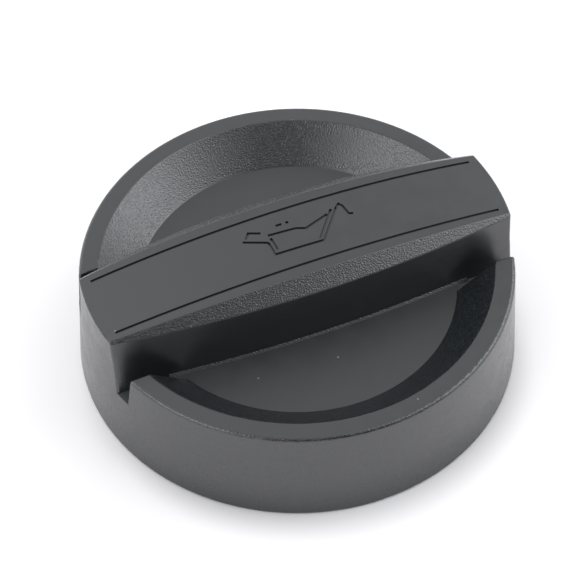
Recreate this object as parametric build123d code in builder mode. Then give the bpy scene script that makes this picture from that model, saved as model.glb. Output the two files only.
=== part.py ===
from build123d import *

import os
from math import atan2, cos, radians, sin, sqrt, tan

# Oil filler cap: one moulded body with a grip bar between two finger recesses, and its sealing ring.
# Millimetres, +Z up, origin at the centre of the skirt's foot, X along the grip bar.

# Skirt and rim
rim_radius = 35.2
rim_height = 18.3
rim_width = 3.1
rim_rise = 0.2  # the rim's inner edge stands this much above its outer edge
skirt_draft = 2.9  # degrees, the skirt widens towards its foot
skirt_wall = 2.6
rim_edge_round = 0.6
foot_edge_round = 0.5

# Finger recesses on both sides of the bar
recess_depth = 4.9
recess_slope_run = 6.1

# Grip bar: each size at the bar's ends, and how much more it is at the middle
bar_rise = 4.6  # above the rim
bar_rise_gain = 2.8
bar_half_width = 8.8  # at the bar's root
bar_half_width_gain = 1.98
bar_top_half_width = 6.8  # up to the long chamfers
bar_top_half_width_gain = 1.24
bar_end_draft = 8.0  # degrees, the bar's sides lean in towards the top
bar_middle_draft = 0.5
bar_chamfer_angle = 38.0  # degrees, how far the long chamfers fall from the level
bar_corner_round = 0.5  # upright corners at the bar's ends
bar_end_round = 0.35  # top edge of the bar's ends
bar_edge_round = 0.25  # both edges of the long chamfers
bar_foot = 0.35  # 45 degree flare where the bar's sides meet the recess floor

# Slots that part the bar's ends from the rim, and drain the recesses outwards
slot_start = 0.5  # how far outside the recess floor's corners the slots begin
slot_fall = 7.5  # degrees
slot_gap = 0.35  # from the bar's middle half width to the slot's outer wall
slot_draft = 4.9  # degrees, the outer wall leans away from the bar
slot_edge_round = 0.3

# Engraved lines and oil-can symbol on the bar's top
engraving_width = 0.45
engraving_depth = 0.35
line_margin = 1.2  # from the chamfer, at the bar's ends
line_gain = 0.38  # how much further apart the lines are at the middle
line_end_gap = 2.2  # from the rim's radius
symbol_unit = 1.0  # one unit of the symbol's drawing

# Underside
slot_web = 2.0  # plastic between a slot's lowest end and the ceiling
inner_draft = 1.5  # degrees, inside of the skirt
core_web = 2.4  # plastic above the cores under the bar and the rim
bar_core_wall = 4.0
bar_core_rib = 1.6
bar_core_columns = 4
bar_core_rows = 2
bar_core_margin = 0.8  # from the cores' corners to the neck's bore
rim_core_width = 3.6
rim_core_margin = 2.4  # from the rim's cores to a slot

# Neck with bayonet lugs
neck_radius = 20.5
neck_wall = 2.4
neck_foot_gap = 1.2  # the neck ends this far above the skirt's foot
neck_edge_round = 0.6
lug_reach = 2.7
lug_height = 2.8
lug_width = 15.0
lug_edge_round = 0.6

# Sealing ring and the low wall round it
seal_width = 5.4
seal_thickness = 3.0
seal_bore_clearance = 0.1
seal_edge_round = 0.7
seal_wall = 1.5
seal_wall_height = 1.8
seal_wall_clearance = 0.4

# Radial ribs between the low wall and the skirt
rib_count = 12
rib_thickness = 1.5
rib_height = 4.2

# Heights and radii that follow from the sizes above
skirt_slope = tan(radians(skirt_draft))
foot_radius = rim_radius + rim_height * skirt_slope
rim_inner_radius = rim_radius - rim_width
rim_inner_height = rim_height + rim_rise
recess_floor_z = rim_height - recess_depth
recess_floor_radius = rim_inner_radius - recess_slope_run
bar_middle_half_width = bar_half_width + bar_half_width_gain
slot_half_width = bar_middle_half_width + slot_gap
slot_start_x = sqrt(recess_floor_radius**2 - slot_half_width**2) + slot_start
slot_slope = tan(radians(slot_fall))
slot_ridge_z = recess_floor_z + slot_start_x * slot_slope
slot_end_z = slot_ridge_z - foot_radius * slot_slope
ceiling_z = slot_end_z - slot_web
bar_root_z = slot_end_z - slot_web / 2
bar_end_z = rim_height + bar_rise
bar_top_z = bar_end_z + bar_rise_gain
bar_blank_z = bar_top_z + bar_rise  # top of the block that the crown is cut from
facet_angle = radians(bar_chamfer_angle)
facet_end = bar_top_half_width * sin(facet_angle) + bar_end_z * cos(facet_angle)  # from the origin
facet_gain = bar_top_half_width_gain * sin(facet_angle) + bar_rise_gain * cos(facet_angle)
inner_foot_radius = foot_radius - skirt_wall
inner_ceiling_radius = inner_foot_radius - ceiling_z * tan(radians(inner_draft))
neck_bore_radius = neck_radius - neck_wall
seal_bore_radius = neck_radius + seal_bore_clearance
seal_radius = seal_bore_radius + seal_width
seal_wall_bore_radius = seal_radius + seal_wall_clearance
seal_wall_radius = seal_wall_bore_radius + seal_wall


def bow(x):
    """Share of a gain that holds at x: 1 at the bar's middle, 0 at the rim's radius."""
    return 1 - (x / rim_radius) ** 2


def arc_points(reach, value, gain):
    """Three points of the shallow arc that is value at the rim's radius and value + gain at the middle."""
    end = value + gain * bow(reach)
    return (-reach, end), (0, value + gain), (reach, end)


def side_points(reach, z, margin=0):
    """Three points of the bar's side at height z, or of an arc that lies the margin outside it."""
    end_lean = (z - bar_root_z) * tan(radians(bar_end_draft))
    middle_lean = (z - bar_root_z) * tan(radians(bar_middle_draft))
    gain = bar_half_width_gain + end_lean - middle_lean
    return arc_points(reach, bar_half_width - end_lean + margin, gain)


# Flare at the bar's foot, from below the recess floor to inside the bar
with BuildPart() as foot:
    for rise, margin in ((-bar_foot, 2 * bar_foot), (2 * bar_foot, -bar_foot)):
        with BuildSketch(Plane.XY.offset(recess_floor_z + rise)):
            with BuildLine():
                back = ThreePointArc(*side_points(recess_floor_radius, recess_floor_z, margin))
                front = mirror(back, about=Plane.XZ)
                Line(back @ 0, front @ 0)
                Line(back @ 1, front @ 1)
            make_face()
    loft(ruled=True)

# Grip bar: a barrel-shaped block with a crowned top, and ends that follow the skirt up to the rim
with BuildPart() as grip_bar:
    for z in (bar_root_z, bar_blank_z):
        with BuildSketch(Plane.XY.offset(z)):
            with BuildLine():
                back = ThreePointArc(*side_points(foot_radius, z))
                front = mirror(back, about=Plane.XZ)
                Line(back @ 0, front @ 0)
                Line(back @ 1, front @ 1)
            make_face()
    loft(ruled=True)
    with BuildSketch(Plane.XZ):
        with BuildLine():
            Polyline(
                (0, 0),
                (foot_radius, 0),
                (rim_radius, rim_height),
                (rim_radius, bar_blank_z),
                (0, bar_blank_z),
                close=True,
            )
        make_face()
    revolve(axis=Axis.Z, mode=Mode.INTERSECT)
    uprights = [
        edge
        for edge in grip_bar.edges()
        if abs(edge.center().X) > rim_radius / 2 and abs(edge.tangent_at(0.5).Z) > 0.9
    ]
    fillet(uprights, bar_corner_round)
    with BuildSketch(Plane.XZ):
        with BuildLine():
            crown = ThreePointArc(*arc_points(foot_radius, bar_end_z, bar_rise_gain))
            Polyline(crown @ 1, (foot_radius, 0), (-foot_radius, 0), crown @ 0)
        make_face()
    extrude(amount=foot_radius, both=True, mode=Mode.INTERSECT)
    fillet(grip_bar.faces().sort_by(Axis.Z)[-1].edges(), bar_end_round)
    for side in (1, -1):
        facet_up = (0, -side * cos(facet_angle), sin(facet_angle))
        with BuildSketch(Plane((0, 0, 0), x_dir=(side, 0, 0), z_dir=facet_up)):
            with BuildLine():
                facet = ThreePointArc(*arc_points(foot_radius, facet_end, facet_gain))
                Polyline(facet @ 1, (foot_radius, 2 * bar_top_z), (-foot_radius, 2 * bar_top_z), facet @ 0)
            make_face()
        extrude(amount=2 * foot_radius, both=True, mode=Mode.SUBTRACT)
    long_edges = grip_bar.edges().filter_by(lambda edge: edge.length > rim_radius)
    fillet(long_edges.filter_by_position(Axis.Z, rim_height, bar_top_z), bar_edge_round)

# Strokes of the oil-can symbol, in drawing units from the bar's centre
symbol_strokes = [
    [(-4.3, 1.7), (0.4, 1.4), (1.9, 0.8), (6.2, 2.3)],
    [(-4.8, 0.3), (-4.7, -2.4), (3.7, -2.6), (8.2, 3.2)],
    [(-4.1, 1.0), (-4.0, -1.6)],
    [(3.2, -2.1), (7.2, 3.1)],
    [(-8.5, 2.0), (-4.8, 0.3)],
    [(-7.8, 2.3), (-7.0, 3.4), (-5.2, 2.6)],
    [(-2.4, 3.1), (-1.4, 3.1)],
    [(-0.7, 3.1), (-0.2, 3.1)],
    [(8.2, 3.2), (8.8, 3.7), (9.2, 3.1), (9.5, 1.2), (10.2, 1.0)],
]

# Engraving: the line work, as deep as the engraving below the bar's crown
with BuildPart() as engraving:
    line_value = bar_top_half_width - line_margin
    with BuildSketch():
        with BuildLine():
            back_line = ThreePointArc(*arc_points(rim_radius - line_end_gap, line_value, line_gain))
            mirror(back_line, about=Plane.XZ)
        trace(line_width=engraving_width)
        for stroke in symbol_strokes:
            with BuildLine():
                Polyline(*[(x * symbol_unit, y * symbol_unit) for x, y in stroke])
            trace(line_width=engraving_width)
    extrude(amount=2 * bar_top_z)
    with BuildSketch(Plane.XZ):
        with BuildLine():
            floor = ThreePointArc(*arc_points(foot_radius, bar_end_z - engraving_depth, bar_rise_gain))
            Polyline(floor @ 1, (foot_radius, 2 * bar_top_z), (-foot_radius, 2 * bar_top_z), floor @ 0)
        make_face()
    extrude(amount=foot_radius, both=True, mode=Mode.INTERSECT)

# Cores under the bar lie within the neck's bore, and those under the rim stay clear of the slots
bar_core_half_width = bar_middle_half_width - bar_core_wall
bar_core_reach = sqrt((neck_bore_radius - bar_core_margin) ** 2 - bar_core_half_width**2)
bar_core_pitch_x = (2 * bar_core_reach + bar_core_rib) / bar_core_columns
bar_core_pitch_y = (2 * bar_core_half_width + bar_core_rib) / bar_core_rows
bar_core_top_z = bar_end_z + bar_rise_gain * bow(bar_core_reach) - core_web
rim_core_radius = inner_ceiling_radius - rim_core_width
slope_angle = atan2(rim_inner_height - recess_floor_z, recess_slope_run)
rim_core_slope_z = recess_floor_z + (rim_core_radius - recess_floor_radius) * tan(slope_angle)
rim_core_top_z = rim_core_slope_z - core_web / cos(slope_angle)
rib_inner_radius = seal_wall_radius - seal_wall / 2
rib_length = inner_foot_radius - rib_inner_radius
rib_middle_radius = rib_inner_radius + rib_length / 2

# Slots: their floors fall from a ridge above the bar's middle, and their walls lean away from the bar
with BuildPart() as slots:
    slot_top_half_width = slot_half_width + (bar_top_z - slot_end_z) * tan(radians(slot_draft))
    with BuildSketch(Plane.YZ):
        with BuildLine():
            Polyline(
                (-slot_half_width, slot_end_z),
                (slot_half_width, slot_end_z),
                (slot_top_half_width, bar_top_z),
                (-slot_top_half_width, bar_top_z),
                close=True,
            )
        make_face()
    extrude(amount=foot_radius, both=True)
    with BuildSketch(Plane.XZ):
        with BuildLine():
            Polyline(
                (-foot_radius, slot_end_z),
                (0, slot_ridge_z),
                (foot_radius, slot_end_z),
                (foot_radius, bar_top_z),
                (-foot_radius, bar_top_z),
                close=True,
            )
        make_face()
    extrude(amount=foot_radius, both=True, mode=Mode.INTERSECT)

# Cap body: revolved skirt, rim and recess, with the slots cut across it and the bar set between them
with BuildPart() as cap_body:
    with BuildSketch(Plane.XZ):
        with BuildLine():
            FilletPolyline(
                (0, 0),
                (foot_radius, 0),
                (rim_radius, rim_height),
                (rim_inner_radius, rim_inner_height),
                (recess_floor_radius, recess_floor_z),
                (0, recess_floor_z),
                radius=(0, foot_edge_round, rim_edge_round, rim_edge_round, 0, 0),
                close=True,
            )
        make_face()
    revolve(axis=Axis.Z)
    add(slots.part, mode=Mode.SUBTRACT)
    slot_walls = cap_body.faces().filter_by(lambda face: face.is_planar and abs(face.normal_at().Y) > 0.9)
    slot_rims = slot_walls.edges().filter_by(lambda edge: edge.center().Z > recess_floor_z)
    fillet(slot_rims, slot_edge_round)
    add(grip_bar.part)
    add(foot.part)
    add(engraving.part, mode=Mode.SUBTRACT)

    # Hollow underside with its cores
    with BuildSketch(Plane.XZ):
        with BuildLine():
            Polyline(
                (0, 0),
                (inner_foot_radius, 0),
                (inner_ceiling_radius, ceiling_z),
                (0, ceiling_z),
                close=True,
            )
        make_face()
    revolve(axis=Axis.Z, mode=Mode.SUBTRACT)
    with BuildSketch(Plane.XY.offset(ceiling_z)):
        with GridLocations(bar_core_pitch_x, bar_core_pitch_y, bar_core_columns, bar_core_rows):
            Rectangle(bar_core_pitch_x - bar_core_rib, bar_core_pitch_y - bar_core_rib)
    extrude(amount=bar_core_top_z - ceiling_z, mode=Mode.SUBTRACT)
    with BuildSketch(Plane.XY.offset(ceiling_z)):
        Circle(inner_ceiling_radius)
        Circle(rim_core_radius, mode=Mode.SUBTRACT)
        Rectangle(2 * foot_radius, 2 * (slot_half_width + rim_core_margin), mode=Mode.SUBTRACT)
        with PolarLocations(rib_middle_radius, rib_count):
            Rectangle(rib_length, rib_thickness, mode=Mode.SUBTRACT)
    extrude(amount=rim_core_top_z - ceiling_z, mode=Mode.SUBTRACT)

    # Neck, bayonet lugs, low wall round the seal and radial ribs
    with BuildSketch(Plane.XZ):
        with BuildLine():
            FilletPolyline(
                (neck_bore_radius, ceiling_z),
                (neck_bore_radius, neck_foot_gap),
                (neck_radius, neck_foot_gap),
                (neck_radius, ceiling_z),
                radius=(0, neck_edge_round, neck_edge_round, 0),
                close=True,
            )
        make_face()
    revolve(axis=Axis.Z)
    with BuildSketch(Plane.XY.offset(neck_foot_gap)) as lugs:
        Circle(neck_radius + lug_reach)
        Circle(neck_radius - neck_wall / 2, mode=Mode.SUBTRACT)
        Rectangle(2 * foot_radius, lug_width, mode=Mode.INTERSECT)
        fillet(lugs.vertices().filter_by(lambda corner: abs(corner.X) > neck_radius), lug_edge_round)
    extrude(amount=lug_height)
    with BuildSketch(Plane.XY.offset(ceiling_z)):
        Circle(seal_wall_radius)
        Circle(seal_wall_bore_radius, mode=Mode.SUBTRACT)
    extrude(amount=-seal_wall_height)
    with BuildSketch(Plane.XY.offset(ceiling_z)):
        with PolarLocations(rib_middle_radius, rib_count):
            Rectangle(rib_length, rib_thickness)
    extrude(amount=-rib_height)

# Sealing ring, flat against the ceiling
with BuildPart() as sealing_ring:
    with BuildSketch(Plane.XZ):
        with BuildLine():
            FilletPolyline(
                (seal_bore_radius, ceiling_z),
                (seal_bore_radius, ceiling_z - seal_thickness),
                (seal_radius, ceiling_z - seal_thickness),
                (seal_radius, ceiling_z),
                radius=seal_edge_round,
                close=True,
            )
        make_face()
    revolve(axis=Axis.Z)

os.makedirs("parts", exist_ok=True)
cap_body.part.label = "cap_body"
export_step(cap_body.part, "parts/cap_body.step")
sealing_ring.part.label = "sealing_ring"
export_step(sealing_ring.part, "parts/sealing_ring.step")
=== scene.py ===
from math import cos, pi, radians, sin

import bpy
from mathutils import Matrix, Vector

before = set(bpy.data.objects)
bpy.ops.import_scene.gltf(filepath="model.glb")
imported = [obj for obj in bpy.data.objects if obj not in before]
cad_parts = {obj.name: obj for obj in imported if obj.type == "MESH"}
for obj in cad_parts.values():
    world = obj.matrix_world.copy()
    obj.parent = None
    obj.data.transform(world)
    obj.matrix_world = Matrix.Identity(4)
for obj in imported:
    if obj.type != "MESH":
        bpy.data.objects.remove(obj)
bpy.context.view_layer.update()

millimetre = 0.001

# Camera, as fitted to the photograph: angles in degrees, lengths in metres, picture sizes in pixels
picture_width = 576
picture_height = 580
camera_azimuth = -22.23
camera_elevation = 50.195
camera_roll = -0.47
camera_distance = 0.430
camera_target = Vector((0, 0, 0.010))
camera_offset_right = 0.001498
camera_offset_up = -0.001299
camera_focal_pixels = 2625.77
sensor_width = 36.0

# Plastic: its colour varies in soft clouds, and its roughness differs on the skirt and the recess floors
plastic_dark = (0.0095, 0.0110, 0.0125, 1)
plastic_light = (0.0125, 0.0140, 0.0158, 1)
plastic_roughness = 0.35
skirt_roughness = 0.27
recess_roughness = 0.55
recess_high = 14.5 * millimetre
plastic_specular = 1.0
cloud_size = 3.0 * millimetre
cloud_range = (0.3, 0.7)
cloud_gloss = 0.03
skin_size = 0.12 * millimetre
skin_depth = 0.02 * millimetre
skin_strength = 0.15

# Which way a face looks, as the upward part of its normal: each pair is where a smooth step starts and ends
facing_down = (-0.6, -0.4)
facing_sideways = (0.1, 0.3)
facing_up = (0.9, 0.98)

# Grain on the faces that lean about 39 degrees from level and lie above the recess floors
grain_facing = 0.777
grain_facing_spread = (0.08, 0.14)
grain_size = 0.23 * millimetre
grain_depth = 0.085 * millimetre
grain_low = 13.2 * millimetre
grain_fade = 0.6 * millimetre
grain_roughness = 0.2
# Painted highlight: the crests of the grain get a lighter colour that stands in for its glints
crest_highlight_color = (0.034, 0.038, 0.042, 1)
crest_highlight_range = (0.5, 0.75)

# The rim's outer edge, which is worn and glints
rim_edge_radii = (34.3 * millimetre, 34.8 * millimetre)
rim_edge_heights = (17.5 * millimetre, 17.8 * millimetre)
rim_edge_grain = 0.6

# Turning marks of the mould on the faces that look down
turning_pitch = 0.4 * millimetre
turning_depth = 0.02 * millimetre
turning_strength = 0.5
turning_reach = 33.0 * millimetre

# Specks of dust that the photograph shows, in millimetres
dust_specks = {
    "left in the front recess": (-13.1, -15.4, 13.4),
    "middle of the front recess": (0.2, -16.4, 13.4),
    "front rim": (6.7, -32.4, 18.4),
    "end of an engraved line": (-32.9, -5.3, 23.3),
}
speck_radius = 0.18 * millimetre
dust_color = (0.20, 0.20, 0.21, 1)

# Rubber of the sealing ring: black with a paler bloom in patches
rubber_dark = (0.014, 0.014, 0.015, 1)
rubber_bloom = (0.028, 0.028, 0.029, 1)
rubber_roughness = (0.6, 0.8)
bloom_size = 2.5 * millimetre
bloom_range = (0.45, 0.75)
rubber_skin_size = 0.4 * millimetre
rubber_skin_depth = 0.05 * millimetre
rubber_skin_strength = 0.3

# Soft studio sources: azimuth from the front to the right, elevation, strength at the middle
soft_sources = {
    "right": (82, 33, 3.4),
    "left": (280, 34, 3.65),
    "front right": (40, 36, 0.5),
    "top right": (72, 64, 1.08),
    "top rear": (196, 56, 1.28),
    "low rear right": (150, 8, 1.8),
    "low rear left": (210, 8, 1.3),
}
source_sharpness = 10.0
source_color = (0.96, 0.99, 1.02, 1)
ambient_strength = 0.06
backdrop_color = (1, 1, 1, 1)
backdrop_strength = 1.0

# Floor, and a lamp high above it that lights only the floor, so that it is white beside a narrow shadow
floor_half_size = 3.0
floor_color = (0.745, 0.725, 0.730, 1)
floor_lamp_azimuth = 178
floor_lamp_elevation = 76
floor_lamp_angle = 20
floor_lamp_strength = 1.4


class Nodes:
    """A node tree that is written line by line: each call adds a node or two."""

    def __init__(self, tree):
        self.tree = tree
        tree.nodes.clear()

    def add(self, kind, inputs=(), **settings):
        node = self.tree.nodes.new(kind)
        for name, value in settings.items():
            setattr(node, name, value)
        for name, value in dict(inputs).items():
            if isinstance(value, bpy.types.NodeSocket):
                self.tree.links.new(value, node.inputs[name])
            else:
                node.inputs[name].default_value = value
        return node

    def math(self, operation, *values):
        return self.add("ShaderNodeMath", enumerate(values), operation=operation).outputs[0]

    def smooth(self, value, low, high, low_value=0.0, high_value=1.0):
        inputs = {
            "Value": value,
            "From Min": low,
            "From Max": high,
            "To Min": low_value,
            "To Max": high_value,
        }
        return self.add("ShaderNodeMapRange", inputs, interpolation_type="SMOOTHSTEP").outputs[0]

    def noise(self, position, size, detail=2.0, roughness=0.5):
        inputs = {"Vector": position, "Scale": 1 / size, "Detail": detail, "Roughness": roughness}
        return self.add("ShaderNodeTexNoise", inputs).outputs[0]

    def bump(self, height, strength, depth, normal=None):
        inputs = {"Height": height, "Strength": strength, "Distance": depth}
        if normal is not None:
            inputs["Normal"] = normal
        return self.add("ShaderNodeBump", inputs).outputs[0]

    def mix(self, factor, first, second):
        inputs = {"Factor": factor, 6: first, 7: second}
        return self.add("ShaderNodeMix", inputs, data_type="RGBA").outputs[2]

    def near(self, position, point, radius):
        place = Vector(point) * millimetre
        distance = self.add("ShaderNodeVectorMath", {0: position, 1: place}, operation="DISTANCE")
        return self.smooth(distance.outputs["Value"], radius / 2, radius, 1.0, 0.0)


def new_material(name):
    material = bpy.data.materials.new(name)
    material.use_nodes = True
    return material, Nodes(material.node_tree)


def body_plastic():
    """Dark grey satin plastic: spark-eroded grain on leaning faces with a painted highlight on its crests,
    turning marks below, and a few specks.
    """
    material, nodes = new_material("body_plastic")
    geometry = nodes.add("ShaderNodeNewGeometry")
    position = geometry.outputs["Position"]
    facing = nodes.add("ShaderNodeSeparateXYZ", {"Vector": geometry.outputs["Normal"]}).outputs["Z"]
    height = nodes.add("ShaderNodeSeparateXYZ", {"Vector": position}).outputs["Z"]
    level = nodes.add("ShaderNodeVectorMath", {0: position, 1: (1, 1, 0)}, operation="MULTIPLY").outputs[0]
    radius = nodes.add("ShaderNodeVectorMath", {0: level}, operation="LENGTH").outputs["Value"]

    # Where each finish lies, from 0 to 1
    lean = nodes.math("ABSOLUTE", nodes.math("SUBTRACT", facing, grain_facing))
    leaning = nodes.smooth(lean, *grain_facing_spread, 1.0, 0.0)
    slopes = nodes.math("MULTIPLY", leaning, nodes.smooth(height, grain_low, grain_low + grain_fade))
    outside = nodes.smooth(radius, *rim_edge_radii)
    rim = nodes.math("MULTIPLY", outside, nodes.smooth(height, *rim_edge_heights))
    edge = nodes.math("MULTIPLY", rim, nodes.smooth(facing, *facing_sideways, 0.0, rim_edge_grain))
    grain = nodes.math("MAXIMUM", slopes, edge)
    skirt = nodes.math("MULTIPLY", outside, nodes.smooth(facing, *facing_sideways, 1.0, 0.0))
    deep = nodes.smooth(height, recess_high, recess_high + grain_fade, 1.0, 0.0)
    floors = nodes.math("MULTIPLY", deep, nodes.smooth(facing, *facing_up))
    inside = nodes.smooth(radius, turning_reach - grain_fade, turning_reach, 1.0, 0.0)
    below = nodes.math("MULTIPLY", inside, nodes.smooth(facing, *facing_down, 1.0, 0.0))

    pits = nodes.noise(position, grain_size, detail=0.5, roughness=0.6)
    pit_bump = nodes.bump(pits, grain, grain_depth)
    rings = nodes.math("SINE", nodes.math("MULTIPLY", radius, 2 * pi / turning_pitch))
    ring_bump = nodes.bump(rings, nodes.math("MULTIPLY", below, turning_strength), turning_depth, pit_bump)
    skin = nodes.noise(position, skin_size, detail=1.0)
    skin_bump = nodes.bump(skin, skin_strength, skin_depth, ring_bump)

    clouds = nodes.noise(position, cloud_size, detail=3.0)
    color = nodes.mix(clouds, plastic_dark, plastic_light)
    # Painted highlight: the crests of the grain on the slopes are coloured lighter, standing in for glints
    crest_highlights = nodes.math("MULTIPLY", slopes, nodes.smooth(pits, *crest_highlight_range))
    color = nodes.mix(crest_highlights, color, crest_highlight_color)
    for speck in dust_specks.values():
        color = nodes.mix(nodes.near(position, speck, speck_radius), color, dust_color)

    roughness = nodes.smooth(skirt, 0.0, 1.0, plastic_roughness, skirt_roughness)
    roughness = nodes.math("MULTIPLY_ADD", floors, recess_roughness - plastic_roughness, roughness)
    roughness = nodes.smooth(grain, 0.0, 1.0, roughness, grain_roughness)
    cloudy = nodes.smooth(clouds, *cloud_range, -cloud_gloss, cloud_gloss)
    shader = nodes.add(
        "ShaderNodeBsdfPrincipled",
        {
            "Base Color": color,
            "Roughness": nodes.math("ADD", roughness, cloudy),
            "Specular IOR Level": plastic_specular,
            "Normal": skin_bump,
        },
    )
    nodes.add("ShaderNodeOutputMaterial", {"Surface": shader.outputs[0]})
    return material


def seal_rubber():
    """Matt black rubber with a fine skin and paler bloom in patches."""
    material, nodes = new_material("seal_rubber")
    position = nodes.add("ShaderNodeNewGeometry").outputs["Position"]
    bloom = nodes.smooth(nodes.noise(position, bloom_size, detail=4.0), *bloom_range)
    skin = nodes.noise(position, rubber_skin_size, detail=3.0)
    shader = nodes.add(
        "ShaderNodeBsdfPrincipled",
        {
            "Base Color": nodes.mix(bloom, rubber_dark, rubber_bloom),
            "Roughness": nodes.smooth(bloom, 0.0, 1.0, *rubber_roughness),
            "Normal": nodes.bump(skin, rubber_skin_strength, rubber_skin_depth),
        },
    )
    nodes.add("ShaderNodeOutputMaterial", {"Surface": shader.outputs[0]})
    return material


def dress(node, material):
    node.data.materials.clear()
    node.data.materials.append(material)


def direction_to(azimuth, elevation):
    """Unit vector towards a source or the camera: azimuth from the front to the right, in degrees."""
    level = cos(radians(elevation))
    return Vector((sin(radians(azimuth)) * level, -cos(radians(azimuth)) * level, sin(radians(elevation))))


def floor_material():
    material, nodes = new_material("floor_white")
    shader = nodes.add("ShaderNodeBsdfDiffuse", {"Color": floor_color})
    nodes.add("ShaderNodeOutputMaterial", {"Surface": shader.outputs[0]})
    return material


def make_floor():
    mesh = bpy.data.meshes.new("floor")
    half = floor_half_size
    corners = [(-half, -half, 0), (half, -half, 0), (half, half, 0), (-half, half, 0)]
    mesh.from_pydata(corners, [], [(0, 1, 2, 3)])
    mesh.materials.append(floor_material())
    floor = bpy.data.objects.new("floor", mesh)
    bpy.context.scene.collection.objects.link(floor)
    return floor


def make_floor_lamp(floor):
    data = bpy.data.lights.new("floor_lamp", "SUN")
    data.energy = floor_lamp_strength
    data.angle = radians(floor_lamp_angle)
    lamp = bpy.data.objects.new("floor_lamp", data)
    towards = direction_to(floor_lamp_azimuth, floor_lamp_elevation)
    lamp.rotation_euler = towards.to_track_quat("Z", "Y").to_euler()
    bpy.context.scene.collection.objects.link(lamp)
    lit = bpy.data.collections.new("floor_lamp_lights")
    lit.objects.link(floor)
    lamp.light_linking.receiver_collection = lit


def make_world():
    """Soft sources all round, as broad bright patches of the sky. The camera itself sees plain white."""
    world = bpy.data.worlds.new("studio")
    bpy.context.scene.world = world
    world.use_nodes = True
    nodes = Nodes(world.node_tree)
    direction = nodes.add("ShaderNodeTexCoord").outputs["Generated"]
    total = ambient_strength
    for azimuth, elevation, strength in soft_sources.values():
        middle = direction_to(azimuth, elevation)
        dot = nodes.add("ShaderNodeVectorMath", {0: direction, 1: middle}, operation="DOT_PRODUCT")
        exponent = nodes.math("MULTIPLY_ADD", dot.outputs["Value"], source_sharpness, -source_sharpness)
        total = nodes.math("MULTIPLY_ADD", nodes.math("EXPONENT", exponent), strength, total)
    seen = nodes.add("ShaderNodeLightPath").outputs["Is Camera Ray"]
    light = nodes.add("ShaderNodeBackground", {"Color": source_color, "Strength": total})
    plain = nodes.add("ShaderNodeBackground", {"Color": backdrop_color, "Strength": backdrop_strength})
    mixed = nodes.add("ShaderNodeMixShader", {0: seen, 1: light.outputs[0], 2: plain.outputs[0]})
    nodes.add("ShaderNodeOutputWorld", {"Surface": mixed.outputs[0]})


def make_camera():
    azimuth = radians(camera_azimuth)
    roll = radians(camera_roll)
    back = direction_to(camera_azimuth, camera_elevation)
    level_right = Vector((cos(azimuth), sin(azimuth), 0))
    level_up = back.cross(level_right)
    right = level_right * cos(roll) + level_up * sin(roll)
    up = level_up * cos(roll) - level_right * sin(roll)
    offset = right * camera_offset_right + up * camera_offset_up
    data = bpy.data.cameras.new("camera")
    data.sensor_width = sensor_width
    data.lens = camera_focal_pixels * sensor_width / max(picture_width, picture_height)
    data.clip_start = camera_distance / 100
    data.clip_end = camera_distance * 100
    camera = bpy.data.objects.new("camera", data)
    camera.matrix_world = Matrix((right, up, back)).transposed().to_4x4()
    camera.location = camera_target + back * camera_distance - offset
    bpy.context.scene.collection.objects.link(camera)
    bpy.context.scene.camera = camera


bpy.context.scene.view_settings.view_transform = "Standard"
dress(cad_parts["cap_body"], body_plastic())
dress(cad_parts["sealing_ring"], seal_rubber())
make_floor_lamp(make_floor())
make_world()
make_camera()
